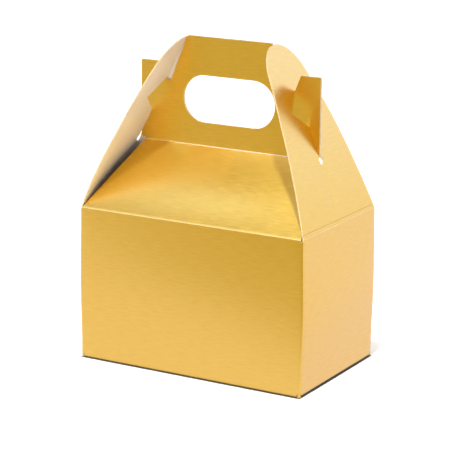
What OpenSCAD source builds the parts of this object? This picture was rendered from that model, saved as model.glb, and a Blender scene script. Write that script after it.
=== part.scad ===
// Gable-top favour box, folded from one sheet of foil-faced board. Millimetres.
// It stands on the XY plane with its middle at the origin. The front faces -Y and X runs along it.

/* [Body] */
// Width across the front, from crease to crease
box_w = 101.6; // [92:0.1:140]
// Depth from front to back, from crease to crease
box_d = 63.5; // [56:0.1:80]
// Height of the walls, from the base to the rim creases
box_h = 63.5; // [40:0.1:120]
// Thickness of the board
board = 0.45; // [0.3:0.01:0.7]
// Width of the strip that is glued inside the back wall
seam_w = 11; // [6:0.5:18]
// How far the glued strip stays short of the base and of the rim
seam_inset = 3; // [1:0.5:8]
// How much narrower the glued strip is at its two ends
seam_taper = 2; // [0:0.5:4]

/* [Roof and handle] */
// Rise from the rim to the crease under the handle
roof_rise = 24.2; // [20:0.1:30]
// How far each upper corner of a roof panel lies inside the handle's edge
roof_top_inset = 1.9; // [1:0.1:3]
// Height of the handle above that crease
handle_h = 44.5; // [40:0.1:60]
// Height of the step that is cut in the handle's edge at each end of the crease
handle_step = 1; // [0.5:0.1:2]
// Gap between the two handle panels
handle_gap = 0.2; // [0.1:0.05:0.4]
// Height of the finger hole
hole_h = 19.4; // [14:0.1:22]
// Height of the middle of the finger hole above the handle's crease
hole_rise = 19.2; // [16:0.1:24]
// Board left between the finger hole and each slanted edge of the handle
hole_margin = 11.2; // [8:0.1:16]
// Height of the hooked ears above the handle's crease
ear_h = 32.9; // [29:0.1:38]
// Width of an ear along its level top edge
ear_top_w = 8.7; // [5:0.1:10]

/* [Side flaps] */
// Lean of a side flap where it leaves the rim, in degrees from upright
flap_lean = 18.2; // [14:0.1:22]
// How much further the flap leans at its top, in degrees, as the board bows
flap_bow = 12; // [4:0.5:16]
// How far the flap's arch stays below the handle's top edge
flap_drop = 0.4; // [0:0.1:3]
// Cut between a flap's foot and each corner of the rim
flap_inset = 0.55; // [0.3:0.05:2]
// Height of the flap's shoulders above the rim
shoulder_h = 40; // [30:0.5:45]
// How far each shoulder lies inside the flap's foot
shoulder_inset = 10.8; // [8:0.1:13]
// Radius of the arch at the flap's top
arch_r = 15.2; // [12:0.1:16]

/* [Slits] */
// Width of the slit that holds the ears
slit_w = 1.5; // [1.2:0.05:2.5]
// Diameter of the round hole that ends the slit
slit_hole_d = 2.8; // [2:0.1:4]
// Width of the window that the slit opens into
window_w = 18.8; // [12:0.1:22]
// Height of the window's lower point above the handle's crease
window_low = 12.5; // [9:0.1:15]
// Height of the window's side points above the handle's crease
window_mid = 19.3; // [17:0.1:22]
// Height of the window's upper point above the handle's crease
window_high = 27; // [25:0.1:28]

/* [Base] */
// How far the base panel stays inside each side of the box
base_inset = 1.5; // [1:0.1:4]
// Length of the tuck flap that goes up inside the back wall
tuck_l = 12; // [8:0.5:18]
// How far each end of the tuck flap lies inside the base panel's side
tuck_inset = 13.3; // [13:0.1:20]
// Lean of the tuck flap away from the back wall, in degrees
tuck_lean = 15; // [8:1:25]
// Length of the two dust flaps
dust_l = 26; // [15:0.5:30]
// How much each side of a dust flap slants inwards over its length
dust_taper = 18.2; // [17:0.1:22]

/* [Clearances] */
// Room between a side flap and the edges of the roof and handle
flap_clear = 0.3; // [0.2:0.05:0.6]
// Room between the front end of a dust flap and the wall
dust_clear = 0.6; // [0.3:0.05:1.5]
// Room between the tuck flap's crease and the back wall
tuck_clear = 0.4; // [0.3:0.05:1]
// Seam between the base panel and the dust flaps above it
base_seam = 0.05; // [0.02:0.01:0.2]

/* [Hidden] */
$fn = 96;
arc_steps = 720;
// Cutting tools reach this far past what they cut
overrun = 1;

foil = "#d9a641";
foil_pale = "#eec480";
foil_deep = "#c08a2c";
plain_board = "#ded8cc";

half_w = box_w / 2;
half_d = box_d / 2;

// The two handle panels stand back to back, each with its outer face this far from the middle
handle_face = handle_gap / 2 + board;
crease_z = box_h + roof_rise;
handle_top = crease_z + handle_h;
roof_pitch = atan(roof_rise / (half_d - handle_face));

// A side flap is a slice of a tube that lies along Y, so its lean grows from foot to arch
flap_h = roof_rise + handle_h - flap_drop;
flap_r = flap_h / (sin(flap_lean + flap_bow) - sin(flap_lean));
function flap_angle(h) = asin(sin(flap_lean) + h / flap_r);
function flap_outside(h) = half_w - flap_r * (cos(flap_lean) - cos(flap_angle(h)));
function flap_inside(h) = flap_outside(h) - board / cos(flap_angle(h));
function beside_flap(h) = flap_inside(h) - flap_clear;
flap_foot = half_d - flap_inset;
flap_shoulder = flap_foot - shoulder_inset;
arch_z = flap_h - arch_r;

// The notch under each ear's hook takes the closed bridge above the flap's slit
bridge_h = roof_rise + window_high;
notch_h = bridge_h - flap_clear;
crease_half = beside_flap(roof_rise);
roof_top_half = crease_half - roof_top_inset;
notch_in = beside_flap(notch_h);
notch_out = flap_outside(notch_h) + flap_clear;
handle_top_half = beside_flap(flap_h);
ear_in = crease_half - ear_top_w;

// Width left for the finger hole at its own height
hole_edge = crease_half - (crease_half - notch_in) * hole_rise / (notch_h - roof_rise);
hole_reach = hole_edge - hole_margin - hole_h / 2;

base_end = half_d - board - tuck_clear;
dust_z = board + base_seam;
dust_foot = half_d - board - dust_clear;
tuck_mitre = board / tan((90 - tuck_lean) / 2);

// Extrudes a profile drawn in Y and Z along X
module along_x(reach) {
    rotate([90, 0, 90]) translate([0, 0, -reach]) linear_extrude(2 * reach) children();
}

// Extrudes a profile drawn in X and Z along Y
module along_y(reach) {
    rotate([90, 0, 0]) translate([0, 0, -reach]) linear_extrude(2 * reach) children();
}

// One thickness of board from a profile drawn in X and Z, with its front face at y
module sheet_at(y) {
    translate([0, y + board, 0]) rotate([90, 0, 0]) linear_extrude(board) children();
}

// A wall that faces -Y, mitred at its upright edges
module wide_wall(mitre) {
    intersection() {
        linear_extrude(box_h)
            polygon([
                [-half_w, -half_d], [half_w, -half_d],
                [half_w - board, -half_d + board], [-half_w + board, -half_d + board]
            ]);
        along_x(half_w)
            polygon([
                [-half_d, 0], [-half_d, box_h],
                [-half_d + board, box_h], [-half_d + board, mitre]
            ]);
    }
}

// A wall that faces +X. Its lower edge is mitred to the dust flap that folds in from it.
module end_wall() {
    intersection() {
        linear_extrude(box_h)
            polygon([
                [half_w, -half_d], [half_w, half_d],
                [half_w - board, half_d - board], [half_w - board, -half_d + board]
            ]);
        along_y(half_d)
            polygon([
                [half_w, dust_z], [half_w, box_h],
                [half_w - board, box_h], [half_w - board, dust_z + board]
            ]);
    }
}

module front_panel() {
    color(foil) wide_wall(board);
}

module back_panel() {
    color(foil) mirror([0, 1, 0]) wide_wall(0);
}

module right_panel() {
    color(foil_pale) end_wall();
}

module left_panel() {
    color(foil_pale) mirror([1, 0, 0]) end_wall();
}

// The strip that joins the sheet's two ends lies flat against the back wall's inner face
module glue_flap() {
    x0 = -half_w + board;
    x1 = x0 + seam_w;
    color(plain_board) sheet_at(half_d - 2 * board)
        polygon([
            [x0, seam_inset], [x1, seam_inset + seam_taper],
            [x1, box_h - seam_inset - seam_taper], [x0, box_h - seam_inset]
        ]);
}

// A roof panel slopes from the front rim to the handle's crease. Its foot is cut level with the rim.
module roof() {
    run = half_d - handle_face;
    intersection() {
        along_x(half_w)
            polygon([
                [-half_d, box_h],
                [-half_d + board / sin(roof_pitch), box_h],
                [-handle_face + board * sin(roof_pitch), crease_z - board * cos(roof_pitch)],
                [-handle_face, crease_z]
            ]);
        linear_extrude(crease_z + overrun)
            polygon([
                [-beside_flap(0), -half_d], [beside_flap(0), -half_d],
                [roof_top_half, -half_d + run], [roof_top_half, 0],
                [-roof_top_half, 0], [-roof_top_half, -half_d + run]
            ]);
    }
}

module front_roof() {
    color(foil) roof();
}

module back_roof() {
    color(foil) mirror([0, 1, 0]) roof();
}

// The finger hole is a level slot with round ends
module finger_hole() {
    translate([0, crease_z + hole_rise]) {
        square([2 * hole_reach, hole_h], center = true);
        for (side = [-1, 1]) translate([side * hole_reach, 0]) circle(d = hole_h);
    }
}

// The part of a handle panel that lies between the side flaps
module handle() {
    sheet_at(-handle_face) difference() {
        polygon([
            [-roof_top_half, crease_z], [roof_top_half, crease_z],
            [roof_top_half, crease_z + handle_step], [crease_half, crease_z + handle_step],
            [notch_in, box_h + notch_h], [handle_top_half, handle_top],
            [-handle_top_half, handle_top], [-notch_in, box_h + notch_h],
            [-crease_half, crease_z + handle_step], [-roof_top_half, crease_z + handle_step]
        ]);
        finger_hole();
    }
}

// An ear is the upright edge of the handle panel that hooks out through the flap's slit
module ear() {
    sheet_at(-handle_face)
        polygon([
            [crease_half, crease_z + handle_step], [crease_half, crease_z + ear_h],
            [ear_in, crease_z + ear_h], [notch_out, box_h + notch_h],
            [notch_in, box_h + notch_h]
        ]);
}

module front_handle() {
    color(foil_deep) handle();
}

module front_handle_right_ear() {
    color(foil_deep) ear();
}

module front_handle_left_ear() {
    color(foil_deep) mirror([1, 0, 0]) ear();
}

module back_handle() {
    color(foil_deep) mirror([0, 1, 0]) handle();
}

module back_handle_right_ear() {
    color(foil_deep) mirror([0, 1, 0]) ear();
}

module back_handle_left_ear() {
    color(foil_deep) mirror([1, 0, 0]) mirror([0, 1, 0]) ear();
}

// The bowed sheet that a side flap is cut from
module flap_sheet() {
    spare = 2 * overrun * 180 / PI / flap_r;
    translate([half_w - flap_r * cos(flap_lean), 0, box_h - flap_r * sin(flap_lean)])
        rotate([90, 0, 0])
        rotate([0, 0, flap_lean - spare])
        rotate_extrude(angle = flap_bow + 2 * spare, $fn = arc_steps)
        translate([flap_r - board, -half_d])
        square([board, box_d]);
}

// The flap's outline as it is seen from the side, from the rim up. Its upper edges run from the
// shoulders to where they touch the arch's circle.
module flap_outline() {
    fall = arch_z - shoulder_h;
    touch = acos(arch_r / norm([flap_shoulder, fall])) - atan(fall / flap_shoulder);
    touch_y = arch_r * cos(touch);
    touch_z = arch_z + arch_r * sin(touch);
    polygon([
        [-flap_foot, 0], [flap_foot, 0], [flap_shoulder, shoulder_h],
        [touch_y, touch_z], [-touch_y, touch_z], [-flap_shoulder, shoulder_h]
    ]);
    translate([0, arch_z]) circle(r = arch_r);
}

// The round hole, the slit above it and the window that the slit opens into
module flap_cuts() {
    translate([0, roof_rise]) circle(d = slit_hole_d);
    translate([-slit_w / 2, roof_rise]) square([slit_w, window_high]);
    polygon([
        [0, roof_rise + window_low], [window_w / 2, roof_rise + window_mid],
        [0, bridge_h], [-window_w / 2, roof_rise + window_mid]
    ]);
}

module side_flap() {
    intersection() {
        flap_sheet();
        translate([0, 0, box_h]) along_x(half_w + overrun) difference() {
            flap_outline();
            flap_cuts();
        }
    }
}

module right_side_flap() {
    color(foil_pale) side_flap();
}

module left_side_flap() {
    color(foil_pale) mirror([1, 0, 0]) side_flap();
}

// The base panel folds in from the front wall and reaches the tuck flap's crease
module base_panel() {
    color(foil) along_x(half_w - base_inset)
        polygon([
            [-half_d, 0], [base_end, 0],
            [base_end - tuck_mitre, board], [-half_d + board, board]
        ]);
}

// The tuck flap folds up from the base panel and leans a little off the back wall
module tuck_flap() {
    rise = tuck_l * cos(tuck_lean);
    back = tuck_l * sin(tuck_lean);
    color(plain_board) along_x(half_w - base_inset - tuck_inset)
        polygon([
            [base_end, 0], [base_end - back, rise],
            [base_end - back - board * cos(tuck_lean), rise - board * sin(tuck_lean)],
            [base_end - tuck_mitre, board]
        ]);
}

// A dust flap folds in from an end wall and lies on the base panel
module dust_flap() {
    tip = dust_foot - dust_taper;
    intersection() {
        along_y(half_d)
            polygon([
                [half_w, dust_z], [half_w - board, dust_z + board],
                [half_w - dust_l, dust_z + board], [half_w - dust_l, dust_z]
            ]);
        linear_extrude(box_h)
            polygon([
                [half_w, -dust_foot], [half_w, dust_foot],
                [half_w - dust_l, tip], [half_w - dust_l, -tip]
            ]);
    }
}

module right_dust_flap() {
    color(plain_board) dust_flap();
}

module left_dust_flap() {
    color(plain_board) mirror([1, 0, 0]) dust_flap();
}

front_panel();
back_panel();
left_panel();
right_panel();
glue_flap();
front_roof();
back_roof();
front_handle();
front_handle_left_ear();
front_handle_right_ear();
back_handle();
back_handle_left_ear();
back_handle_right_ear();
left_side_flap();
right_side_flap();
base_panel();
tuck_flap();
left_dust_flap();
right_dust_flap();
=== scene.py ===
"""Builds the looks of a gable-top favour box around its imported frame.

The box is one sheet of gold foil board, cut and creased. Each panel is a thin shell with foil
outside, white board inside and a cut edge round it. Each crease is a narrow rounded strip that
bends between the two bodies it joins. Lengths are in metres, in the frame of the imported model.
"""

import math

import bmesh
import bpy
from bpy.props import FloatProperty, FloatVectorProperty, PointerProperty
from mathutils import Matrix, Vector
from mathutils.geometry import delaunay_2d_cdt


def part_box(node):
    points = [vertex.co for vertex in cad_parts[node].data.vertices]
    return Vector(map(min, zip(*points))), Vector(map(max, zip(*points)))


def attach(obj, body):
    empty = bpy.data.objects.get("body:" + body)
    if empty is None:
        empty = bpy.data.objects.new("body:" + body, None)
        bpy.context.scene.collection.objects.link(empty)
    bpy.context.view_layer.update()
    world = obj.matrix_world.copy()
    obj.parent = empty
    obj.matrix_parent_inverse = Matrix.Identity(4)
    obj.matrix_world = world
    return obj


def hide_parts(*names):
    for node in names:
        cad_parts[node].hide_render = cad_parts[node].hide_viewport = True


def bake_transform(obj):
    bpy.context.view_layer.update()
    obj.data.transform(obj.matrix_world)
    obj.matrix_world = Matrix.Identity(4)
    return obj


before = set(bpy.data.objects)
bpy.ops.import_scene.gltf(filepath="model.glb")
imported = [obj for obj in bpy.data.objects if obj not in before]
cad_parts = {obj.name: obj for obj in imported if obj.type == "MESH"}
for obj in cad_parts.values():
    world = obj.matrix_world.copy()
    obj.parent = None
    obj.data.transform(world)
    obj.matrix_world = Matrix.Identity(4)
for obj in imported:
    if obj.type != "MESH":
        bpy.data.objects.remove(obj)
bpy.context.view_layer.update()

bl_info = {
    "name": "Favour Box",
    "version": (1, 0, 0),
    "blender": (4, 5, 0),
    "location": "View3D > Sidebar > Favour Box",
    "description": "Dresses a folded gable-top favour box in gold foil board",
    "category": "Object",
}

MM = 0.001
# Each piece's materials, in the order that board_materials gives them
FOIL, PLAIN, EDGE = 0, 1, 2
# Folds turned more sharply than this are shaded as edges
SHARP_ANGLE = math.radians(35)

# The way that the front, the back and each side face
ENDS = (("front", -1), ("back", 1))
SIDES = (("right", 1), ("left", -1))

# Where the seam, the base and its flaps lie on the uncut sheet
SEAM_ON_SHEET = (0.33, 0)
BASE_ON_SHEET = (0, -0.07)
TUCK_ON_SHEET = (0, -0.09)
DUST_ON_SHEET = (0.1, -0.03)

# Reach of an upright fold's rounding along the front and side walls: at the rim, and how much
# further at the foot
RIM_ROUNDING = (0.77 * MM, 0.55 * MM)
FOOT_ROUNDING = (0.3 * MM, 0.2 * MM)
WALL_POINTS, CORNER_POINTS, WALL_ROWS = 24, 6, 24

# How rubbed the foil is along a crease: most where it turns to the foil side, where the pale
# rubbed colour runs unbroken as a painted highlight line, and a little more on a gentle fold than
# on a sharp one
VALLEY_HIGHLIGHT_WEAR, GENTLE_WEAR, SHARP_WEAR = 1.7, 1.35, 1.0
GENTLE_FOLD = math.radians(30)

# What a fold strip is given, in the order that make_crease works it out
FOLD_INPUTS = (
    "Angle", "Direction", "Radius", "First reach", "Second reach", "First half width",
    "Second half width", "Score depth", "Score width", "Sheet U", "Sheet V", "Wear and highlight", "Board",
)

# The camera's place, turn and lens, from a fit to the picture's corners
CAMERA_PLACE = (386.9 * MM, -682.2 * MM, 256.0 * MM)
CAMERA_AZIMUTH, CAMERA_PITCH, CAMERA_ROLL = map(math.radians, (29.65, 14.31, 0.59))
FOCAL_LENGTH, PICTURE_WIDTH = 1989.8, 450


def linear(hex_colour):
    """The linear colour of an sRGB hex value, with alpha."""
    channels = [int(hex_colour[i : i + 2], 16) / 255 for i in (1, 3, 5)]
    return tuple(
        c / 12.92 if c <= 0.04045 else ((c + 0.055) / 1.055) ** 2.4 for c in channels
    ) + (1.0,)


def setting(kind, **options):
    """Makes one kind of property for the sidebar, from its name, default and description."""
    return lambda name, default, description: kind(
        name=name, default=default, description=description, **options
    )


length = setting(FloatProperty, min=0.0, precision=5, unit="LENGTH", subtype="DISTANCE")
angle = setting(FloatProperty, unit="ROTATION", subtype="ANGLE")
colour = setting(FloatVectorProperty, size=4, min=0, max=1, subtype="COLOR")


def low(node):
    """A CAD node's lowest corner."""
    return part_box(node)[0]


def high(node):
    """A CAD node's highest corner."""
    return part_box(node)[1]


class FAVOURBOX_PG_carton(bpy.types.PropertyGroup):
    """Sizes of the four walls."""

    width: length("Width", 2 * high("front_panel").x, "Front wall, crease to crease")
    depth: length("Depth", 2 * high("right_panel").y, "Side wall, crease to crease")
    height: length("Height", high("front_panel").z, "Base to the rim creases")
    board: length(
        "Board", high("front_handle").y - low("front_handle").y, "Thickness of the foil board"
    )
    seam: length(
        "Glued seam", high("glue_flap").x - low("glue_flap").x, "Width inside the back wall"
    )
    seam_inset: length("Seam inset", 3 * MM, "Seam's distance from base and rim")
    seam_taper: length("Seam taper", 2 * MM, "Slant of the seam's two ends")
    bulge: length("Wall bulge", 0.45 * MM, "How far a wall swells between its creases")
    fold_bulge: length("Fold bulge", 0.5 * MM, "How far upright folds stand out half way up")


class FAVOURBOX_PG_top(bpy.types.PropertyGroup):
    """Sizes of the roof, the handle and the side flaps."""

    crease_height: length("Handle crease", low("front_handle").z, "Height of the handle's foot")
    handle_face: length("Handle face", -low("front_handle").y, "Outer face from the middle")
    handle_top: length("Handle top", high("front_handle").z, "Height of the handle")
    roof_foot: length("Roof foot", high("front_roof").x, "Half the roof's width, rim")
    crease_half: length(
        "Handle foot", high("front_handle_right_ear").x, "Half the handle's foot"
    )
    roof_inset: length("Roof inset", 1.9 * MM, "A roof corner's distance inside the handle")
    handle_step: length("Handle step", 1 * MM, "Height of the step in the handle's edge")
    handle_top_half: length("Handle top half", 19.28 * MM, "Half the handle's top edge")
    hole_height: length("Finger hole", 19.4 * MM, "Height of the finger hole")
    hole_rise: length("Finger hole rise", 19.2 * MM, "Its middle above the crease")
    hole_half: length("Finger hole reach", 11.35 * MM, "Half its straight length")
    ear_top: length("Ear top", high("front_handle_right_ear").z, "Height of the hooked ears")
    ear_width: length("Ear width", 8.7 * MM, "Width of an ear's level top edge")
    notch_height: length("Notch height", 114.4 * MM, "Height of the notch under a hook")
    notch_inner: length("Notch inner", 28.79 * MM, "Notch's inner end from the middle")
    notch_outer: length("Notch outer", 29.9 * MM, "Notch's outer end from the middle")
    handle_shift: length("Handle shift", 1.7 * MM, "How far its left notch is cut back")
    flap_height: length(
        "Flap height",
        high("right_side_flap").z - high("front_panel").z,
        "A side flap's height above the rim",
    )
    flap_foot: length("Flap foot", high("right_side_flap").y, "Half a side flap's foot")
    flap_lean: angle("Flap lean", math.radians(18.2), "A side flap's lean where it leaves the rim")
    flap_bow: angle("Flap bow", math.radians(12), "How much more it leans at its top")
    shoulder_height: length("Shoulder height", 40 * MM, "Flap's shoulders above the rim")
    shoulder_half: length("Shoulder half", 20.4 * MM, "Half the width at the shoulders")
    arch_radius: length("Arch radius", 15.2 * MM, "Radius of the flap's top")
    slit: length("Slit", 1.5 * MM, "Width of the slit that holds the ears")
    slit_hole: length("Slit hole", 2.8 * MM, "Diameter of the hole that ends the slit")
    slit_foot: length("Slit foot", 24.2 * MM, "Height of that hole above the rim")
    window_half: length("Window half", 9.4 * MM, "Half the width of the slit's window")
    window_low: length("Window low", 36.7 * MM, "Window's lower point above the rim")
    window_middle: length("Window middle", 43.5 * MM, "Its side points above the rim")
    window_high: length("Window high", 51.2 * MM, "Its upper point above the rim")
    dent: length("Dent", 0.3 * MM, "Depth of the dent that the ears press in the flap")
    belly: length("Belly", 0.6 * MM, "How far the left flap's edges swell out")
    belly_middle: length("Belly middle", 1.7 * MM, "How much more its middle swells out")
    belly_height: length("Belly height", 34 * MM, "Height of that swelling")
    roof_bow: length("Roof bow", 0.7 * MM, "How far a roof panel swells upwards")


class FAVOURBOX_PG_base(bpy.types.PropertyGroup):
    """Sizes of the base and its flaps."""

    base_half: length("Base half width", high("base_panel").x, "Half the base panel")
    base_end: length("Base end", high("base_panel").y, "The tuck flap's crease")
    tuck_half: length("Tuck half width", high("tuck_flap").x, "Half the tuck flap")
    tuck_length: length("Tuck length", 12 * MM, "Length of the tuck flap")
    tuck_lean: angle("Tuck lean", math.radians(15), "Lean of the tuck flap off the back wall")
    dust_height: length("Dust flap level", low("right_dust_flap").z, "Its underside")
    dust_foot: length("Dust flap foot", high("right_dust_flap").y, "Half its crease")
    dust_length: length("Dust flap length", 26 * MM, "Length of a dust flap")
    dust_taper: length("Dust flap taper", 18.2 * MM, "Slant of each of its sides")


class FAVOURBOX_PG_crease(bpy.types.PropertyGroup):
    """Sizes of the rounded creases."""

    radius: length("Fold radius", 0.9 * MM, "Outer radius of an outward fold")
    valley_radius: length("Valley radius", 0.4 * MM, "Radius of an inward fold")
    rim_reach: length("Rim reach", 0.6 * MM, "How far a rim crease runs down the wall")
    reach: length("Reach", 1.6 * MM, "How far a crease runs over each panel")
    score: length("Score depth", 0.03 * MM, "Depth of the scored lines beside a fold")
    score_width: length("Score width", 0.2 * MM, "Width of a scored line")


class FAVOURBOX_PG_finish(bpy.types.PropertyGroup):
    """Colours of the board and the stage."""

    foil: colour("Gold foil", linear("#F0C54B"), "Colour of the foil laminate")
    inside: colour("Board back", linear("#E9DDCB"), "Colour of the uncoated inside")
    edge: colour("Cut edge", linear("#F3D8A0"), "Colour of the board's cut edges")
    floor: colour("Floor", linear("#F0F0F0"), "Colour of the studio floor")


def sizes(*names):
    """The scene's own copies of these groups of sizes."""
    return [getattr(bpy.context.scene, f"favour_{name}") for name in names]


def add(tree, kind, inputs=(), **options):
    """Adds one node, sets it, and sets or links its inputs by name or number."""
    node = tree.nodes.new(kind)
    for name, value in options.items():
        setattr(node, name, value)
    for socket, value in dict(inputs).items():
        if isinstance(value, bpy.types.Node):
            value = value.outputs[0]
        if isinstance(value, bpy.types.NodeSocket):
            tree.links.new(value, node.inputs[socket])
        else:
            node.inputs[socket].default_value = value
    return node


def ramp(tree, value, start, end, least=0.0, most=1.0, **options):
    """A number that goes from least to most as a value goes from start to end."""
    limits = {0: value, 1: start, 2: end, 3: least, 4: most}
    return add(tree, "ShaderNodeMapRange", limits, **options)


def mix(tree, share, first, second, **options):
    """A share of the way from one colour to another, or what blend_type makes of the two."""
    tones = {0: share, 6: first, 7: second}
    return add(tree, "ShaderNodeMix", tones, data_type="RGBA", **options).outputs[2]


def foil_laminate(tree):
    """Aluminium foil laminate, lacquered gold and matted by fine rolled lines.

    The lines run along the sheet, so a reflection spreads across them and stays soft.
    """
    finish = bpy.context.scene.favour_finish
    sheet = add(tree, "ShaderNodeUVMap", uv_map="sheet")
    # Rolled lines in the foil are about 0.05 mm apart. They are drawn 0.5 mm apart and 6 mm
    # long, the finest that still shows at this picture's size.
    lines_at = add(tree, "ShaderNodeMapping", {"Vector": sheet, "Scale": (180, 2000, 1)})
    # The board under the foil isn't quite flat: waves about 18 mm across. Its fibres are about
    # 1.2 mm across. The specks show where the foil is rubbed thin.
    patterns = []
    for place, scale, detail, grit in (
        (lines_at, 1.0, 3.0, 0.6),
        (sheet, 55.0, 1.5, 0.4),
        (sheet, 850.0, 2.0, 0.5),
        (sheet, 1500.0, 3.0, 0.7),
    ):
        noise = {"Vector": place, "Scale": scale, "Detail": detail, "Roughness": grit}
        patterns.append(add(tree, "ShaderNodeTexNoise", noise))
    lines, waves, fibres, specks = patterns
    shade = ramp(tree, lines, 0.3, 0.7, 0.93, 1.04)
    rough = ramp(tree, lines, 0.3, 0.7, 0.28, 0.33)
    gold = mix(tree, 1.0, finish.foil, shade, blend_type="MULTIPLY")
    # Foil rubs thin along the folds and shows the white board in specks. On a valley fold the pale
    # colour runs unbroken, a painted highlight line.
    crease = add(tree, "ShaderNodeAttribute", attribute_name="crease").outputs["Fac"]
    rubbed = add(tree, "ShaderNodeMath", {0: crease, 1: specks}, operation="MULTIPLY")
    worn = ramp(tree, rubbed, 0.5, 0.62, most=0.6)
    metal = add(tree, "ShaderNodeMath", {0: 1.0, 1: worn}, operation="SUBTRACT")
    surface = mix(tree, worn, gold, finish.edge)
    relief = {}
    for height, strength, depth in (
        (waves, 0.15, 0.4 * MM),
        (fibres, 0.06, 0.02 * MM),
        (lines, 0.1, 0.02 * MM),
    ):
        relief |= {"Strength": strength, "Distance": depth, "Height": height}
        relief["Normal"] = add(tree, "ShaderNodeBump", relief)
    tangent = add(tree, "ShaderNodeTangent", direction_type="UV_MAP", uv_map="sheet")
    face = {"Base Color": surface, "Metallic": metal, "Roughness": rough}
    face |= {"Normal": relief["Normal"], "Tangent": tangent}
    face |= {"Anisotropic": 0.3, "Anisotropic Rotation": 0.25}
    return add(tree, "ShaderNodeBsdfPrincipled", face)


def paper_fibres(tree, place, scale, noise, tone, darkest, strength, roughness):
    """A matt paper face, a little uneven in tone and level where its fibres lie."""
    fibre_at = add(tree, "ShaderNodeMapping", {"Vector": place, "Scale": scale})
    fibre = add(tree, "ShaderNodeTexNoise", {"Vector": fibre_at, "Scale": 1.0, **noise})
    shade = ramp(tree, fibre, 0.3, 0.7, darkest)
    paper = mix(tree, 1.0, tone, shade, blend_type="MULTIPLY")
    relief = {"Strength": strength, "Distance": 0.05 * MM, "Height": fibre}
    face = {"Base Color": paper, "Roughness": roughness}
    face["Normal"] = add(tree, "ShaderNodeBump", relief)
    return add(tree, "ShaderNodeBsdfPrincipled", face)


def board_back(tree):
    """White-lined board, uncoated: a soft matt face with a faint fibre."""
    tone = bpy.context.scene.favour_finish.inside
    place = add(tree, "ShaderNodeUVMap", uv_map="sheet")
    # Fibre clumps about 1.5 mm long, laid along the sheet.
    noise = {"Detail": 4.0, "Roughness": 0.65}
    return paper_fibres(tree, place, (650, 1300, 1), noise, tone, 0.94, 0.2, 0.8)


def cut_edge(tree):
    """The die-cut edge of the board: pale pressed layers, a little frayed."""
    tone = bpy.context.scene.favour_finish.edge
    place = add(tree, "ShaderNodeTexCoord").outputs["Object"]
    # Torn fibres about 0.8 mm long.
    noise = {"Detail": 3.0}
    return paper_fibres(tree, place, (1300, 1300, 1300), noise, tone, 0.86, 0.3, 0.75)


def cleared_tree(owner):
    """The node tree of a material or a world, with nothing in it."""
    owner.use_nodes = True
    owner.node_tree.nodes.clear()
    return owner.node_tree


def board_materials():
    """The foil, the board's back and its cut edge, each made at its first use."""
    made = []
    for name, face in (
        ("gold_foil_laminate", foil_laminate),
        ("uncoated_board", board_back),
        ("die_cut_edge", cut_edge),
    ):
        material = bpy.data.materials.get(name)
        if not material:
            material = bpy.data.materials.new(name)
            tree = cleared_tree(material)
            add(tree, "ShaderNodeOutputMaterial", {"Surface": face(tree)})
        made.append(material)
    return made


def matrix_of(*columns):
    """The matrix whose columns are three axes and an origin."""
    matrix = Matrix.Identity(4)
    for i, column in enumerate(columns):
        matrix.col[i].xyz = column
    return matrix


def frame_of(origin, along, up):
    """The matrix that puts flat board at origin, with its foil face along x up."""
    u, v = Vector(along).normalized(), Vector(up).normalized()
    return matrix_of(u, v, u.cross(v), origin)


def arc(centre, radius, start, end, count):
    """Points of an arc, with its angles in degrees."""
    turn = [math.radians(start + (end - start) * i / count) for i in range(count + 1)]
    x, y = centre
    return [(x + radius * math.cos(t), y + radius * math.sin(t)) for t in turn]


def both_halves(right):
    """A loop from the points of its right half, from the foot up."""
    (x, v), *others = right
    return [(-x, v), *right] + [(-x, v) for x, v in reversed(others)]


def inside(x, y, loops):
    """Whether a point is on the board, by the number of cut lines to its right."""
    crossed = False
    for loop in loops:
        for (x0, y0), (x1, y1) in zip(loop, loop[1:] + loop[:1]):
            if (y0 > y) != (y1 > y) and x < x0 + (y - y0) * (x1 - x0) / (y1 - y0):
                crossed = not crossed
    return crossed


def divided(loop, step):
    """A loop with points added so that none are further apart than step."""
    points = []
    for a, b in zip(loop, loop[1:] + loop[:1]):
        a, b = Vector(a), Vector(b)
        count = max(1, math.ceil((b - a).length / step))
        points += [tuple(a.lerp(b, i / count)) for i in range(count)]
    return points


def cut_board(loops, step):
    """Die-cuts flat board: points and triangles inside the first loop, outside the others."""
    loops = [divided(loop, step) for loop in loops]
    points = [Vector(p) for loop in loops for p in loop]
    edges, first = [], 0
    for loop in loops:
        count = len(loop)
        edges += [(first + i, first + (i + 1) % count) for i in range(count)]
        first += count
    xs, ys = [p[0] for p in loops[0]], [p[1] for p in loops[0]]
    border = list(points)
    # no point lies much nearer than half a step to a cut, where it would make slivers
    clear = (0.45 * step) ** 2
    for j in range(int((max(ys) - min(ys)) / step) + 1):
        for i in range(int((max(xs) - min(xs)) / step) + 2):
            x = min(xs) + (i + 0.5 * (j % 2)) * step
            y = min(ys) + (j + 0.5) * step
            near = any((p.x - x) ** 2 + (p.y - y) ** 2 < clear for p in border)
            if not near and inside(x, y, loops):
                points.append(Vector((x, y)))
    made = delaunay_2d_cdt(points, edges, [], 0, 1e-8)
    spots, faces = [tuple(p) for p in made[0]], []
    for f in made[2]:
        a, b, c = (spots[i] for i in f)
        x, y = (a[0] + b[0] + c[0]) / 3, (a[1] + b[1] + c[1]) / 3
        if inside(x, y, loops):
            turn = (b[0] - a[0]) * (c[1] - a[1]) - (b[1] - a[1]) * (c[0] - a[0])
            faces.append(tuple(f) if turn > 0 else tuple(reversed(f)))
    return spots, faces


def linked(name, data):
    """A new object in the scene."""
    thing = bpy.data.objects.new(name, data)
    bpy.context.scene.collection.objects.link(thing)
    return thing


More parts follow.
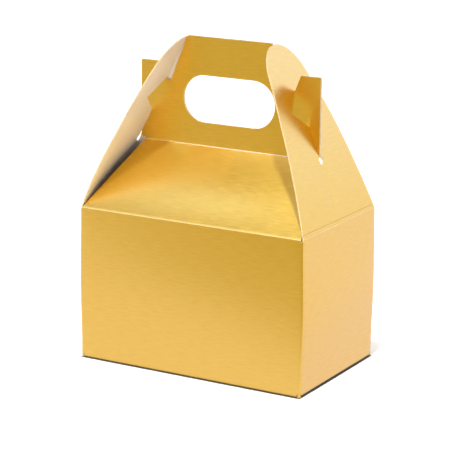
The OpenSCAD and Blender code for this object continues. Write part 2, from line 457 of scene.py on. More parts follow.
def flat_object(name, spots, faces, corners=None, sheet=(0, 0)):
    """An object of flat or folded board, with its place on the uncut sheet as its UV map."""
    mesh = bpy.data.meshes.new(name)
    mesh.from_pydata([(*p, 0.0) if len(p) == 2 else p for p in spots], [], faces)
    layer = mesh.uv_layers.new(name="sheet")
    for loop in mesh.loops:
        spot = corners[loop.index] if corners else spots[loop.vertex_index]
        layer.data[loop.index].uv = (spot[0] + sheet[0], spot[1] + sheet[1])
    return linked(name, mesh)


def bake_modifiers(thing):
    """Replaces an object's mesh by what its modifiers make of it."""
    graph = bpy.context.evaluated_depsgraph_get()
    made = bpy.data.meshes.new_from_object(
        thing.evaluated_get(graph), preserve_all_data_layers=True, depsgraph=graph
    )
    spent = thing.data
    thing.modifiers.clear()
    thing.data = made
    bpy.data.meshes.remove(spent)
    made.name = thing.name


def give_thickness(thing):
    """Gives board its thickness, inwards from the foil, and its three materials."""
    thing.data.materials.clear()
    for material in board_materials():
        thing.data.materials.append(material)
    solid = thing.modifiers.new("board", "SOLIDIFY")
    solid.thickness = bpy.context.scene.favour_carton.board
    solid.offset = -1.0
    solid.use_even_offset = True
    solid.material_offset = PLAIN
    solid.material_offset_rim = EDGE
    bake_modifiers(thing)
    thing.data.shade_smooth()
    thing.data.set_sharp_from_angle(angle=SHARP_ANGLE)


def finish_piece(thing, body, nodes):
    """Thickens a piece of board and puts it on its body in place of its CAD nodes."""
    give_thickness(thing)
    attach(thing, body)
    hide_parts(*nodes)


def lay_panel(name, cut, sheet, place, body, slot, *nodes):
    """A panel of cut board: where it lies on the sheet and in the box, and on which body.

    It stands for the named nodes, or for the one of its body's name.
    """
    panel = flat_object(name, *cut, sheet=sheet)
    panel.data.transform(frame_of(*place))
    finish_piece(panel, body, nodes or [body])


def carton_columns(z, swell):
    """The carton's outline at height z, from the left end of the front wall round.

    Each point has its x and y, its place u along the sheet, its wall and how worn it is.
    """
    carton = bpy.context.scene.favour_carton
    half_w, half_d = carton.width / 2, carton.depth / 2
    share = (1 - z / carton.height) ** 1.5
    rx, ry = (rim + foot * share for rim, foot in zip(RIM_ROUNDING, FOOT_ROUNDING))
    out = carton.fold_bulge * swell
    points, u = [], -half_w
    for name, start, end, half, inset in (
        ("front", (-1, -1), (1, -1), half_w, rx),
        ("right", (1, -1), (1, 1), half_d, ry),
        ("back", (1, 1), (-1, 1), half_w, rx),
        ("left", (-1, 1), (-1, -1), half_d, ry),
    ):
        facing = (Vector(start) + Vector(end)) / 2
        a, b = (Vector((x * (half_w + out), y * half_d)) for x, y in (start, end))
        run = (b - a).normalized()
        a, b = a + run * inset, b - run * inset
        for i in range(WALL_POINTS + 1):
            t = i / WALL_POINTS
            p = a.lerp(b, t) + facing * carton.bulge * swell * (1 - (2 * t - 1) ** 2)
            points.append((p.x, p.y, u + inset + t * (2 * half - 2 * inset), name, 0.0))
        u += 2 * half
        # the quarter turn to the next wall, most worn in its middle
        centre = Vector((end[0] * (half_w + out - rx), end[1] * (half_d - ry)))
        next_facing = Vector((-facing.y, facing.x))
        for i in range(1, CORNER_POINTS):
            s = i / CORNER_POINTS
            turn = math.pi / 2 * s
            p = facing * math.cos(turn) + next_facing * math.sin(turn)
            spot = (centre.x + p.x * rx, centre.y + p.y * ry)
            worn = 1 - abs(2 * s - 1) * 0.6
            points.append((*spot, u + (s - 0.5) * (rx + ry), "corner", worn))
    return points


class FAVOURBOX_OT_carton(bpy.types.Operator):
    """Folds the four walls into a sleeve and glues its seam"""

    bl_idname = "favourbox.carton"
    bl_label = "Fold Carton"

    def execute(self, context):
        carton, base, crease = sizes("carton", "base", "crease")
        rim = carton.height - crease.rim_reach
        lowest = base.dust_height + crease.reach
        foot = {"front": crease.reach, "right": lowest, "left": lowest, "back": 0, "corner": 0}
        levels = [0.0, crease.reach]
        levels += [lowest + (rim - lowest) * i / WALL_ROWS for i in range(WALL_ROWS + 1)]
        spots, outline = [], []
        for z in levels:
            share = min(1, max(0, (z - lowest) / (rim - lowest)))
            ring = carton_columns(z, math.sin(math.pi * share) ** 2)
            outline.append(ring)
            spots += [(x, y, z) for x, y, *_ in ring]
        count = len(outline[0])
        faces, corners = [], []
        around = 2 * (carton.width + carton.depth)
        for row in range(len(levels) - 1):
            for i in range(count):
                j = (i + 1) % count
                names = {outline[row][i][3], outline[row][j][3]}
                wall = "corner" if "corner" in names else names.pop()
                if levels[row] < foot[wall] - 1e-9:
                    continue
                quad = [(row, i), (row, j), (row + 1, j), (row + 1, i)]
                faces.append([r * count + c for r, c in quad])
                for r, c in quad:
                    u = outline[r][c][2] + (around if j == 0 and c == 0 else 0)
                    corners.append((u, levels[r]))
        sleeve = flat_object("carton_sleeve", spots, faces, corners)
        worn = sleeve.data.attributes.new("crease", "FLOAT", "POINT")
        worn.data.foreach_set("value", [p[4] for ring in outline for p in ring])
        work = bmesh.new()
        work.from_mesh(sleeve.data)
        unused = [v for v in work.verts if not v.link_faces]
        bmesh.ops.delete(work, geom=unused, context="VERTS")
        work.to_mesh(sleeve.data)
        work.free()
        walls = ["front_panel", "back_panel", "left_panel", "right_panel"]
        finish_piece(sleeve, "carton", walls)

        inner = carton.width / 2 - carton.board
        level, taper = carton.seam_inset, carton.seam_taper
        loop = [
            (inner - carton.seam, level + taper),
            (inner, level),
            (inner, carton.height - level),
            (inner - carton.seam, carton.height - level - taper),
        ]
        lay_panel(
            "glued_seam", cut_board([loop], step=4 * MM), SEAM_ON_SHEET,
            ((0, carton.depth / 2 - carton.board, 0), (-1, 0, 0), (0, 0, 1)), "carton",
            "plain_board", "glue_flap",
        )
        return {"FINISHED"}


def roof_slope():
    """The roof's length along its slope and its pitch."""
    carton, top = sizes("carton", "top")
    run = carton.depth / 2 - top.handle_face
    rise = top.crease_height - carton.height
    return math.hypot(run, rise), math.atan2(rise, run)


def roof_half(distance):
    """Half the roof's width at a distance up its slope."""
    top = bpy.context.scene.favour_top
    share = distance / roof_slope()[0]
    return top.roof_foot + (top.crease_half - top.roof_inset - top.roof_foot) * share


class FAVOURBOX_OT_roofs(bpy.types.Operator):
    """Makes the two sloping roof panels"""

    bl_idname = "favourbox.roofs"
    bl_label = "Make Roof Panels"

    def execute(self, context):
        carton, top, crease = sizes("carton", "top", "crease")
        slope, pitch = roof_slope()
        start, end = crease.reach, slope - crease.reach
        loop = both_halves([(roof_half(start), start), (roof_half(end), end)])
        spots, faces = cut_board([loop], step=2.5 * MM)
        raised = []
        for x, v in spots:
            share = (v - start) / (end - start)
            across = 1 - (x / roof_half(v)) ** 2
            raised.append((x, v, top.roof_bow * math.sin(math.pi * share) ** 2 * across))
        for name, side in ENDS:
            up_roof = (0, -side * math.cos(pitch), math.sin(pitch))
            lay_panel(
                f"{name}_roof_sheet", (raised, faces), (0, carton.height),
                ((0, side * carton.depth / 2, carton.height), (-side, 0, 0), up_roof),
                f"{name}_roof", "foil_board",
            )
        return {"FINISHED"}


class FAVOURBOX_OT_handles(bpy.types.Operator):
    """Cuts the two handle panels with their ears and finger hole"""

    bl_idname = "favourbox.handles"
    bl_label = "Cut Handles"

    def execute(self, context):
        carton, top = sizes("carton", "top")
        zero, high_end = top.crease_height, top.handle_top - top.crease_height
        ear_up, notch_up = top.ear_top - zero, top.notch_height - zero
        # each upper corner is cut off by this much
        nick, slant = 0.4 * MM, (0.3 * MM, 0.6 * MM)
        half = [
            (top.crease_half, top.handle_step),
            (top.crease_half, ear_up - nick),
            (top.crease_half - nick, ear_up),
            (top.crease_half - top.ear_width, ear_up),
            (top.notch_outer, notch_up),
            (top.notch_inner, notch_up),
            (top.handle_top_half + slant[0], high_end - slant[1]),
            (top.handle_top_half - nick, high_end),
        ]
        hole_r = top.hole_height / 2
        hole = arc((top.hole_half, top.hole_rise), hole_r, -90, 90, count=20)
        hole += arc((-top.hole_half, top.hole_rise), hole_r, 90, 270, count=20)
        for name, side, shift in (("front", -1, top.handle_shift), ("back", 1, 0.0)):
            left = [(-x, v) for x, v in reversed(half)]
            # the front handle's left notch is cut back, so the back one's inside shows past it
            x, v = left[2]
            left[2] = (x + shift, v - 0.8 * shift)
            handle = f"{name}_handle"
            lay_panel(
                f"{handle}_sheet", cut_board([half + left, hole], step=3 * MM),
                (0, carton.height + roof_slope()[0]),
                ((0, side * top.handle_face, zero), (-side, 0, 0), (0, 0, 1)), handle,
                "foil_board", handle, f"{handle}_left_ear", f"{handle}_right_ear",
            )
        return {"FINISHED"}


def new_group(name, inputs, sums):
    """A Geometry Nodes tree with its named inputs and sums, and all of these by name.

    The place of a point is known as X, Y and Z. Each sum has its name, operation and terms.
    """
    tree = bpy.data.node_groups.new(name, "GeometryNodeTree")
    kinds = {"Geometry": "NodeSocketGeometry", "Board": "NodeSocketMaterial"}
    for title in inputs:
        kind = kinds.get(title, "NodeSocketFloat")
        tree.interface.new_socket(title, in_out="INPUT", socket_type=kind)
    tree.interface.new_socket("Geometry", in_out="OUTPUT", socket_type=kinds["Geometry"])
    given = add(tree, "NodeGroupInput")
    spot = add(tree, "ShaderNodeSeparateXYZ", {0: add(tree, "GeometryNodeInputPosition")})
    known = {socket.name: socket for socket in (*given.outputs, *spot.outputs)}
    for title, operation, *terms in sums:
        values = {i: known.get(term, term) for i, term in enumerate(terms)}
        known[title] = add(tree, "ShaderNodeMath", values, operation=operation)
    return tree, known


def end_group(tree, known, geometry, x, y, z):
    """Moves the points to their worked-out places, sets the board and ends the tree."""
    place = add(tree, "ShaderNodeCombineXYZ", {0: known[x], 1: known[y], 2: known[z]})
    moved = add(tree, "GeometryNodeSetPosition", {"Geometry": geometry, "Position": place})
    real = add(tree, "GeometryNodeRealizeInstances", {0: moved})
    board = {"Geometry": real, "Material": known["Board"]}
    add(tree, "NodeGroupOutput", {0: add(tree, "GeometryNodeSetMaterial", board)})
    return tree


def run_tree(thing, build, values):
    """Runs a Geometry Nodes tree on an object and keeps what it makes of it."""
    tree = bpy.data.node_groups.get(build.__name__) or build()
    modifier = thing.modifiers.new(tree.name, "NODES")
    modifier.node_group = tree
    for socket in tree.interface.items_tree:
        if socket.in_out == "INPUT" and socket.name in values:
            modifier[socket.identifier] = values[socket.name]
    bake_modifiers(thing)


def bow_radius():
    """Radius of the tube that a side flap's bow follows."""
    top = bpy.context.scene.favour_top
    lean, end = top.flap_lean, top.flap_lean + top.flap_bow
    return top.flap_height / (math.sin(end) - math.sin(lean))


# How a point of a flat side flap moves as the flap bows
BOW_SUMS = (
    ("sine", "SINE", "Lean"),
    ("cosine", "COSINE", "Lean"),
    ("share", "DIVIDE", "Z", "Radius"),
    ("lean sine", "ADD", "sine", "share"),
    ("leaning", "ARCSINE", "lean sine"),
    ("lean cosine", "COSINE", "leaning"),
    ("fall", "SUBTRACT", "cosine", "lean cosine"),
    ("inwards", "MULTIPLY", "fall", "Radius"),
    ("out", "SUBTRACT", "Rim half width", "inwards"),
    ("dented", "ADD", "out", "X"),
    ("across", "MULTIPLY", "dented", "Side"),
    ("height", "ADD", "Z", "Rim height"),
)


def bowed_board():
    """Geometry Nodes that bow a flat side flap: it leans more the higher it is."""
    inputs = ("Geometry", "Side", "Rim half width", "Rim height", "Lean", "Radius", "Board")
    tree, known = new_group("bowed_board", inputs, BOW_SUMS)
    return end_group(tree, known, known["Geometry"], "across", "Y", "height")


def flap_loops():
    """A side flap's outline and its slit, hole and window, as seen from the side."""
    top, crease = sizes("top", "crease")
    arch = top.flap_height - top.arch_radius
    fall = arch - top.shoulder_height
    far = math.hypot(top.shoulder_half, fall)
    touch = math.acos(top.arch_radius / far) - math.atan(fall / top.shoulder_half)
    touch = math.degrees(touch)
    start, foot = crease.reach, top.flap_foot
    foot_up = foot + (top.shoulder_half - foot) * start / top.shoulder_height
    outline = [(-foot_up, start), (foot_up, start), (top.shoulder_half, top.shoulder_height)]
    outline += arc((0, arch), top.arch_radius, touch, 180 - touch, count=48)
    outline += [(-top.shoulder_half, top.shoulder_height)]

    half, hole = top.slit / 2, top.slit_hole / 2
    meet = math.degrees(math.asin(half / hole))
    rise = (top.window_middle - top.window_low) / top.window_half * half
    fall = (top.window_high - top.window_middle) / top.window_half * half
    window = [
        (half, top.window_low + rise),
        (top.window_half, top.window_middle),
        (half, top.window_high - fall),
    ]
    cuts = arc((0, top.slit_foot), hole, 90 + meet, 450 - meet, count=20)
    cuts += window + [(0, top.window_high)] + [(-y, h) for y, h in reversed(window)]
    return [outline, cuts]


def pressed_in(y, h, side):
    """How far a side flap is pressed in at y across and h up, or swells out on the left."""
    top, crease = sizes("top", "crease")
    up, tall = h - crease.reach, top.belly_height - crease.reach
    # the ears pull the board in below the slit, in a dent that starts gently at the crease
    middle, reach, width, start = 0.55 * top.slit_foot, 0.45 * top.slit_foot, 3 * MM, 6 * MM
    fall = (y / width) ** 2 + 1.2 * ((h - middle) / reach) ** 2
    dent = top.dent * math.exp(-fall) * min(1, max(0, up / start))
    if side < 0 and 0 < up < tall:
        narrowing = (top.shoulder_half - top.flap_foot) / top.shoulder_height
        edge = top.flap_foot + narrowing * h
        swell = top.belly + top.belly_middle * (1 - (y / edge) ** 2)
        dent -= swell * math.sin(math.pi * (up / tall) ** 0.6)
    return dent


class FAVOURBOX_OT_side_flaps(bpy.types.Operator):
    """Cuts the two arched side flaps and bows them over the ears"""

    bl_idname = "favourbox.side_flaps"
    bl_label = "Cut Side Flaps"

    def execute(self, context):
        carton, top = sizes("carton", "top")
        spots, faces = cut_board(flap_loops(), step=2 * MM)
        on_sheet = [(y, h + carton.height) for y, h in spots]
        for name, side in SIDES:
            flap = flat_object(
                f"{name}_flap_sheet",
                [(-pressed_in(y, h, side), y * side, h) for y, h in spots],
                faces,
                [on_sheet[i] for face in faces for i in face],
                sheet=((carton.width + carton.depth) / 2 * side, 0),
            )
            values = {
                "Side": float(side),
                "Rim half width": carton.width / 2,
                "Rim height": carton.height,
                "Lean": top.flap_lean,
                "Radius": bow_radius(),
                "Board": board_materials()[FOIL],
            }
            run_tree(flap, bowed_board, values)
            finish_piece(flap, f"{name}_side_flap", [f"{name}_side_flap"])
        return {"FINISHED"}


class FAVOURBOX_OT_base(bpy.types.Operator):
    """Cuts the base panel, its tuck flap and the two dust flaps"""

    bl_idname = "favourbox.base"
    bl_label = "Cut Base"

    def execute(self, context):
        carton, base, crease = sizes("carton", "base", "crease")
        start, half, wide = crease.reach, base.base_half, base.tuck_half
        depth = base.base_end + carton.depth / 2
        notch, corner = depth - crease.reach, 1.5 * MM
        right = [(half, start), (half, depth - corner), (half - corner, depth)]
        right += [(wide, depth), (wide, notch)]
        lay_panel(
            "base_sheet", cut_board([both_halves(right)], step=4 * MM), BASE_ON_SHEET,
            ((0, -carton.depth / 2, 0), (-1, 0, 0), (0, 1, 0)), "base_panel", "foil_board",
        )

        bend = 4 * MM
        bend_at = (wide - bend, base.tuck_length - bend)
        right = [(wide, start), *arc(bend_at, bend, 0, 90, count=8)]
        up_tuck = (0, -math.sin(base.tuck_lean), math.cos(base.tuck_lean))
        lay_panel(
            "tuck_sheet", cut_board([both_halves(right)], step=3 * MM), TUCK_ON_SHEET,
            ((0, base.base_end, 0), (-1, 0, 0), up_tuck), "tuck_flap", "plain_board",
        )

        foot, reach, taper = base.dust_foot, base.dust_length, base.dust_taper
        right = [(foot - taper * start / reach, start), (foot - taper, reach)]
        cut = cut_board([both_halves(right)], step=3 * MM)
        for name, side in SIDES:
            place = (side * carton.width / 2, 0, base.dust_height)
            lay_panel(
                f"{name}_dust_sheet", cut, (DUST_ON_SHEET[0] * side, DUST_ON_SHEET[1]),
                (place, (0, -side, 0), (-side, 0, 0)), f"{name}_dust_flap", "plain_board",
            )
        return {"FINISHED"}


def bell(name, distance, width):
    """The sums of a bell curve that is 1 at no distance and falls over the width."""
    return (
        (f"{name} ratio", "DIVIDE", distance, width),
        (f"{name} square", "MULTIPLY", f"{name} ratio", f"{name} ratio"),
        (f"{name} fall", "MULTIPLY", f"{name} square", -1),
        (name, "EXPONENT", f"{name} fall"),
    )


# How a point of a flat strip, which is 2 wide and 1 long, moves to its place in the fold
FOLD_SUMS = (
    ("share", "ADD", "Y", 0.5),
    ("arc length", "MULTIPLY", "Angle", "Radius"),
    ("half angle", "MULTIPLY", "Angle", 0.5),
    ("tangent", "TANGENT", "half angle"),
    ("corner", "MULTIPLY", "tangent", "Radius"),
    ("before", "SUBTRACT", "First reach", "corner"),
    ("after", "SUBTRACT", "Second reach", "corner"),
    ("straight", "ADD", "before", "after"),
    ("total", "ADD", "straight", "arc length"),
    # distance along the strip from where the rounding starts
    ("from end", "MULTIPLY", "share", "total"),
    ("along", "SUBTRACT", "from end", "before"),
    ("beyond", "SUBTRACT", "along", "arc length"),
    ("free turn", "DIVIDE", "along", "Radius"),
    ("begun turn", "MAXIMUM", "free turn", 0),
    ("turn", "MINIMUM", "begun turn", "Angle"),
    ("past", "MAXIMUM", "beyond", 0),
    ("short", "MINIMUM", "along", 0),
    ("sine", "SINE", "turn"),
    ("cosine", "COSINE", "turn"),
    ("end sine", "SINE", "Angle"),
    ("end cosine", "COSINE", "Angle"),
    # scored lines, pressed in at both ends of the rounding
    *bell("first score", "along", "Score width"),
    *bell("second score", "beyond", "Score width"),
    ("score", "ADD", "first score", "second score"),
    ("depth", "MULTIPLY", "score", "Score depth"),
    # towards the inside of the box
    ("open cosine", "SUBTRACT", 1, "cosine"),
    ("past in", "MULTIPLY", "past", "end sine"),
    ("bent in", "MULTIPLY_ADD", "open cosine", "Radius", "past in"),
    ("pressed in", "MULTIPLY", "depth", "cosine"),
    ("inwards", "MULTIPLY_ADD", "bent in", "Direction", "pressed in"),
    # up along the first panel
    ("round up", "MULTIPLY_ADD", "sine", "Radius", "short"),
    ("all up", "MULTIPLY_ADD", "past", "end cosine", "round up"),
    ("from fold", "SUBTRACT", "all up", "corner"),
    ("press", "MULTIPLY", "depth", "sine"),
    ("pressed up", "MULTIPLY", "press", "Direction"),
    ("upwards", "SUBTRACT", "from fold", "pressed up"),
    # sideways
    ("widening", "SUBTRACT", "Second half width", "First half width"),
    ("half", "MULTIPLY_ADD", "widening", "share", "First half width"),
    ("sideways", "MULTIPLY", "X", "half"),
    ("u", "ADD", "sideways", "Sheet U"),
    ("v", "ADD", "along", "Sheet V"),
    # how rubbed the foil is, most in the middle of the rounding; on a valley fold this is a
    # painted highlight line
    ("half arc", "MULTIPLY", "arc length", 0.5),
    ("from middle", "SUBTRACT", "along", "half arc"),
    ("rub width", "ADD", "half arc", 0.2 * MM),
    *bell("rubbed", "from middle", "rub width"),
    ("worn", "MULTIPLY", "rubbed", "Wear and highlight"),
)


def fold_strip():
    """Geometry Nodes that make one creased strip.

    It starts upright below the fold line, rounds the fold and ends on the second panel. Scored
    lines run along both sides of the rounding.
    """
    tree, known = new_group("fold_strip", FOLD_INPUTS, FOLD_SUMS)
    size = {"Size X": 2.0, "Size Y": 1.0, "Vertices X": 25, "Vertices Y": 36}
    grid = add(tree, "GeometryNodeMeshGrid", size)
    on_sheet = add(tree, "ShaderNodeCombineXYZ", {"X": known["u"], "Y": known["v"]})
    for name, value, kind, domain in (
        ("sheet", on_sheet, "FLOAT2", "CORNER"),
        ("crease", known["worn"], "FLOAT", "POINT"),
    ):
        stored = {"Geometry": grid, "Name": name, "Value": value}
        kept = {"data_type": kind, "domain": domain}
        grid = add(tree, "GeometryNodeStoreNamedAttribute", stored, **kept)
    return end_group(tree, known, grid, "sideways", "inwards", "upwards")


def make_crease(name, line, fold, halves, reaches, sheet):
    """One creased strip, bent between two bodies.

    line is a point on the fold line, the way it runs, and the way up the first panel to it. A
    negative fold turns to the foil side. halves and reaches are for the first and second panel.
    """
    crease = bpy.context.scene.favour_crease
    valley = fold < 0
    strip = flat_object(name, [], [])
    if valley:
        # a valley fold's unbroken pale rubbed line is a painted highlight
        direction, radius, wear_and_highlight = -1.0, crease.valley_radius, VALLEY_HIGHLIGHT_WEAR
    else:
        direction, radius = 1.0, crease.radius
        wear_and_highlight = GENTLE_WEAR if fold < GENTLE_FOLD else SHARP_WEAR
    values = (abs(fold), direction, radius, *reaches, *halves, crease.score)
    values += (crease.score_width, *sheet, wear_and_highlight, board_materials()[FOIL])
    run_tree(strip, fold_strip, dict(zip(FOLD_INPUTS, values)))
    origin, u, w = (Vector(part) for part in line)
    u, w = u.normalized(), w.normalized()
    inward = w.cross(u)
    strip.data.transform(matrix_of(u, inward, w, origin))
    give_thickness(strip)
    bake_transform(strip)


class FAVOURBOX_OT_creases(bpy.types.Operator):
    """Rounds every crease with a strip that bends between the panels it joins"""

    bl_idname = "favourbox.creases"
    bl_label = "Round Creases"

    def execute(self, context):
        carton, top, base, crease = sizes("carton", "top", "base", "crease")
        half_w, half_d, rim = carton.width / 2, carton.depth / 2, carton.height
        slope, pitch = roof_slope()
        reach, rim_reach = crease.reach, crease.rim_reach
        upright = math.pi / 2
        for name, side in ENDS:
            along = (-side, 0, 0)
            make_crease(
                f"{name}_rim_crease",
                ((0, side * half_d, rim), along, (0, 0, 1)), upright - pitch,
                (top.roof_foot, roof_half(reach)), (rim_reach, reach), (0, rim),
            )
            up_roof = (0, -side * math.cos(pitch), math.sin(pitch))
            make_crease(
                f"{name}_handle_crease",
                ((0, side * top.handle_face, top.crease_height), along, up_roof),
                pitch - upright, (roof_half(slope - reach), roof_half(slope)),
                (reach, top.handle_step), (0, rim + slope),
            )
        narrowing = (top.flap_foot - top.shoulder_half) / top.shoulder_height
        dust_half = base.dust_foot - base.dust_taper * reach / base.dust_length
        for name, side in SIDES:
            make_crease(
                f"{name}_rim_crease",
                ((side * half_w, 0, rim), (0, side, 0), (0, 0, 1)), top.flap_lean,
                (top.flap_foot, top.flap_foot - narrowing * reach), (rim_reach, reach),
                ((half_w + half_d) * side, rim),
            )
            make_crease(
                f"{name}_dust_crease",
                ((side * half_w, 0, base.dust_height), (0, -side, 0), (0, 0, -1)), upright,
                (base.dust_foot, dust_half), (reach, reach),
                (DUST_ON_SHEET[0] * side, DUST_ON_SHEET[1]),
            )
        make_crease(
            "base_crease",
            ((0, -half_d, 0), (-1, 0, 0), (0, 0, -1)), upright,
            (base.base_half, base.base_half), (reach, reach), BASE_ON_SHEET,
        )
        make_crease(
            "tuck_crease",
            ((0, base.base_end, 0), (-1, 0, 0), (0, 1, 0)), upright + base.tuck_lean,
            (base.tuck_half, base.tuck_half), (reach, reach), TUCK_ON_SHEET,
        )
        return {"FINISHED"}


def graded(tree, place, first, rows):
    """A colour that turns from first to each row's own, from start to end on its way."""
    shade = (*first, 1)
    for direction, start, end, tone in rows:
        terms = {0: place, 1: direction}
        reach = add(tree, "ShaderNodeVectorMath", terms, operation="DOT_PRODUCT").outputs["Value"]
        share = ramp(tree, reach, start, end, interpolation_type="SMOOTHSTEP")
        shade = mix(tree, share, shade, (*tone, 1))
    return shade


def set_camera():
    """Puts the camera where the picture was taken from."""
    lens = bpy.data.cameras.new("camera")
    lens.sensor_width = 36.0
    lens.lens = FOCAL_LENGTH / PICTURE_WIDTH * lens.sensor_width
    lens.clip_start, lens.clip_end = 0.05, 20.0
    camera = linked("camera", lens)
    camera.matrix_world = (
        Matrix.Translation(CAMERA_PLACE)
        @ Matrix.Rotation(CAMERA_AZIMUTH, 4, "Z")
        @ Matrix.Rotation(math.pi / 2 - CAMERA_PITCH, 4, "X")
        @ Matrix.Rotation(CAMERA_ROLL, 4, "Z")
    )
    bpy.context.scene.camera = camera


def light_world():
    """Sets bright paper all round, dim overhead and towards the open side in front.

    A bright panel is high in front on the left. A foil face sees the deeper colours of the first
    list, plain board those of the second.
    """
    world = bpy.data.worlds.new("white_tent")
    bpy.context.scene.world = world
    tree = cleared_tree(world)
    ray = add(tree, "ShaderNodeLightPath").outputs
    heading = add(tree, "ShaderNodeTexCoord").outputs["Generated"]
    up, front, right = (0, 0, 1), (0, -1, 0), (1, 0, 0)
    mirrored = graded(
        tree,
        heading,
        (1.03, 1.06, 1.65),
        (
            (up, 0.0, 0.35, (1.15, 1.36, 4.0)),
            (front, 0.2, 0.8, (0.58, 0.48, 0.1)),
            (up, 0.45, 0.8, (0.42, 0.32, 0.02)),
            ((-0.45, -0.62, 0.64), 0.79, 0.91, (1.3, 1.6, 4.6)),
        ),
    )
    plain = graded(
        tree,
        heading,
        (0.9, 0.86, 0.75),
        (
            (front, 0.1, 0.9, (2.0, 2.0, 1.9)),
            (right, 0.3, 0.9, (0.4, 0.37, 0.34)),
            (up, 0.03, 0.35, (0.1, 0.08, 0.06)),
        ),
    )
    shade = plain
    for rays, tone in (("Is Glossy Ray", mirrored), ("Is Camera Ray", (1, 1, 1, 1))):
        shade = mix(tree, ray[rays], shade, tone)
    light = add(tree, "ShaderNodeBackground", {"Color": shade})
    add(tree, "ShaderNodeOutputWorld", {"Surface": light})


def hang_lamps():
    """Hangs two lamps overhead, each with its light at the box and the rays that it misses.

    One lights board and floor. The other shines on foil, where it draws the right flap's shadow
    over the roof.
    """
    place, size = Vector((0.08, -0.25, 0.96)), 0.05
    aim = Vector((0, 0, 0.08)) - place
    for name, level, tint, hidden in (
        ("board_lamp", 2.6, (1.0, 1.0, 1.0), "glossy"),
        ("foil_lamp", 5.2, (0.94, 1.0, 1.3), "diffuse"),
    ):
        lamp = bpy.data.lights.new(name, "AREA")
        lamp.shape = "SQUARE"
        lamp.size = size
        lamp.color = tint
        lamp.energy = level * math.pi * place.length_squared
        softbox = linked(name, lamp)
        softbox.location = place
        softbox.rotation_euler = aim.to_track_quat("-Z", "Y").to_euler()
        setattr(softbox, f"visible_{hidden}", False)


def studio_paper():
    """Matt white paper for the floor.

    A mirror-like surface sees a painted pool of light on it, bright round the box and behind it,
    and falling off towards the open side in front. Under the box and close beside it the floor is
    painted
    dark, in mirrors and to the other rays: a painted contact shadow, which draws the line where
    they meet.
    """
    carton, finish = sizes("carton", "finish")
    material = bpy.data.materials.new("studio_paper")
    tree = cleared_tree(material)
    ray = add(tree, "ShaderNodeLightPath").outputs
    place = add(tree, "ShaderNodeTexCoord").outputs["Object"]
    # a painted pool of light on the floor, seen only by mirror-like surfaces
    mirrored_light_pool = graded(
        tree,
        place,
        (1.02, 0.98, 1.85),
        (
            ((0.87, 0.5, 0.0), 0.03, 0.25, (1.05, 1.04, 1.85)),
            ((0.5, -0.87, 0.0), 0.05, 0.18, (0.6, 0.5, 0.15)),
        ),
    )
    # How far a spot is past the box's foot, with what is beside its ends counted double
    gap = place
    for operation, term in (
        ("ABSOLUTE", (0, 0, 0)),
        ("SUBTRACT", (carton.width / 2, carton.depth / 2, 0)),
        ("MAXIMUM", (0, 0, 0)),
        ("MULTIPLY", (2, 1, 1)),
        ("LENGTH", (0, 0, 0)),
    ):
        gap = add(tree, "ShaderNodeVectorMath", {0: gap, 1: term}, operation=operation)
    away = add(tree, "ShaderNodeVectorMath", {0: place}, operation="LENGTH").outputs["Value"]
    gap = gap.outputs["Value"]
    # The floor's part in mirrors and its own light, both painted dark close to the box: a painted
    # contact shadow and its painted reflection
    mirror_contact_shade = ramp(tree, gap, 0.0, 1.6 * MM)
    painted_contact_shadow = ramp(tree, gap, 0.0, 1.1 * MM, least=0.1)
    # Its glow is stronger further from the box, so that its far parts are white
    fade = ramp(tree, away, 50 * MM, 75 * MM, least=0.4)
    # painted shade: the floor that mirrors see under and beside the box is near black
    mirrored_light_pool = mix(tree, mirror_contact_shade, (0.04, 0.03, 0.02, 1), mirrored_light_pool)
    rays = {0: ray["Is Glossy Ray"], 1: ray["Is Transmission Ray"]}
    mirrored = add(tree, "ShaderNodeMath", rays, operation="MAXIMUM")
    glow = add(tree, "ShaderNodeEmission", {"Color": (1, 1, 1, 1), "Strength": fade})
    paper = add(tree, "ShaderNodeBsdfDiffuse", {"Color": finish.floor})
    pool = add(tree, "ShaderNodeEmission", {"Color": mirrored_light_pool, "Strength": 1.0})
    lit = add(tree, "ShaderNodeAddShader", {0: glow, 1: paper})
    lit = add(tree, "ShaderNodeMixShader", {0: painted_contact_shadow, 2: lit})
    both = add(tree, "ShaderNodeMixShader", {0: mirrored, 1: lit, 2: pool})
    add(tree, "ShaderNodeOutputMaterial", {"Surface": both})
    return material


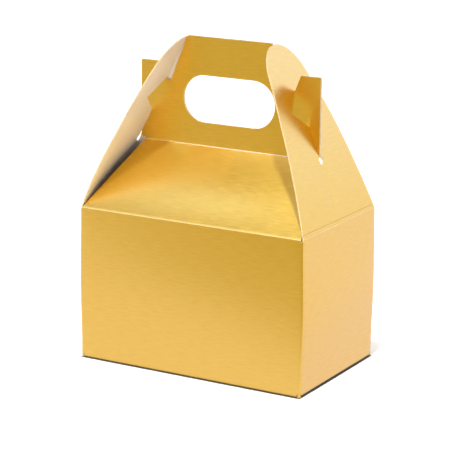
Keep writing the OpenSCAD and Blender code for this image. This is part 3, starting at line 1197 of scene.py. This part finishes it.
class FAVOURBOX_OT_stage(bpy.types.Operator):
    """Sets the floor, the light and the camera"""

    bl_idname = "favourbox.stage"
    bl_label = "Set Stage"

    def execute(self, context):
        context.scene.view_settings.view_transform = "Standard"
        set_camera()
        light_world()
        hang_lamps()
        far, level = 3.0, -0.02 * MM
        corners = [(-far, -far), (far, -far), (far, far), (-far, far)]
        floor = flat_object("floor", [(x, y, level) for x, y in corners], [(0, 1, 2, 3)])
        floor.data.materials.append(studio_paper())
        return {"FINISHED"}


class FAVOURBOX_PT_panel(bpy.types.Panel):
    """Lists the box's sizes, colours and steps in the sidebar"""

    bl_idname = "FAVOURBOX_PT_panel"
    bl_label = "Favour Box"
    bl_space_type = "VIEW_3D"
    bl_region_type = "UI"
    bl_category = "Favour Box"

    def draw(self, context):
        for key in GROUPS:
            group = getattr(context.scene, key)
            box = self.layout.box()
            for name in group.__annotations__:
                box.prop(group, name)
        for operator in OPERATORS:
            self.layout.operator(operator.bl_idname)


GROUPS = {
    "favour_carton": FAVOURBOX_PG_carton,
    "favour_top": FAVOURBOX_PG_top,
    "favour_base": FAVOURBOX_PG_base,
    "favour_crease": FAVOURBOX_PG_crease,
    "favour_finish": FAVOURBOX_PG_finish,
}
OPERATORS = (
    FAVOURBOX_OT_carton,
    FAVOURBOX_OT_roofs,
    FAVOURBOX_OT_handles,
    FAVOURBOX_OT_side_flaps,
    FAVOURBOX_OT_base,
    FAVOURBOX_OT_creases,
    FAVOURBOX_OT_stage,
)


def register():
    for name, group in GROUPS.items():
        bpy.utils.register_class(group)
        setattr(bpy.types.Scene, name, PointerProperty(type=group))
    for operator in OPERATORS:
        bpy.utils.register_class(operator)
    bpy.utils.register_class(FAVOURBOX_PT_panel)


def unregister():
    bpy.utils.unregister_class(FAVOURBOX_PT_panel)
    for operator in reversed(OPERATORS):
        bpy.utils.unregister_class(operator)
    for name, group in GROUPS.items():
        delattr(bpy.types.Scene, name)
        bpy.utils.unregister_class(group)


def main():
    register()
    bpy.ops.favourbox.carton()
    bpy.ops.favourbox.roofs()
    bpy.ops.favourbox.handles()
    bpy.ops.favourbox.side_flaps()
    bpy.ops.favourbox.base()
    bpy.ops.favourbox.creases()
    bpy.ops.favourbox.stage()


if __name__ == "__main__":
    main()
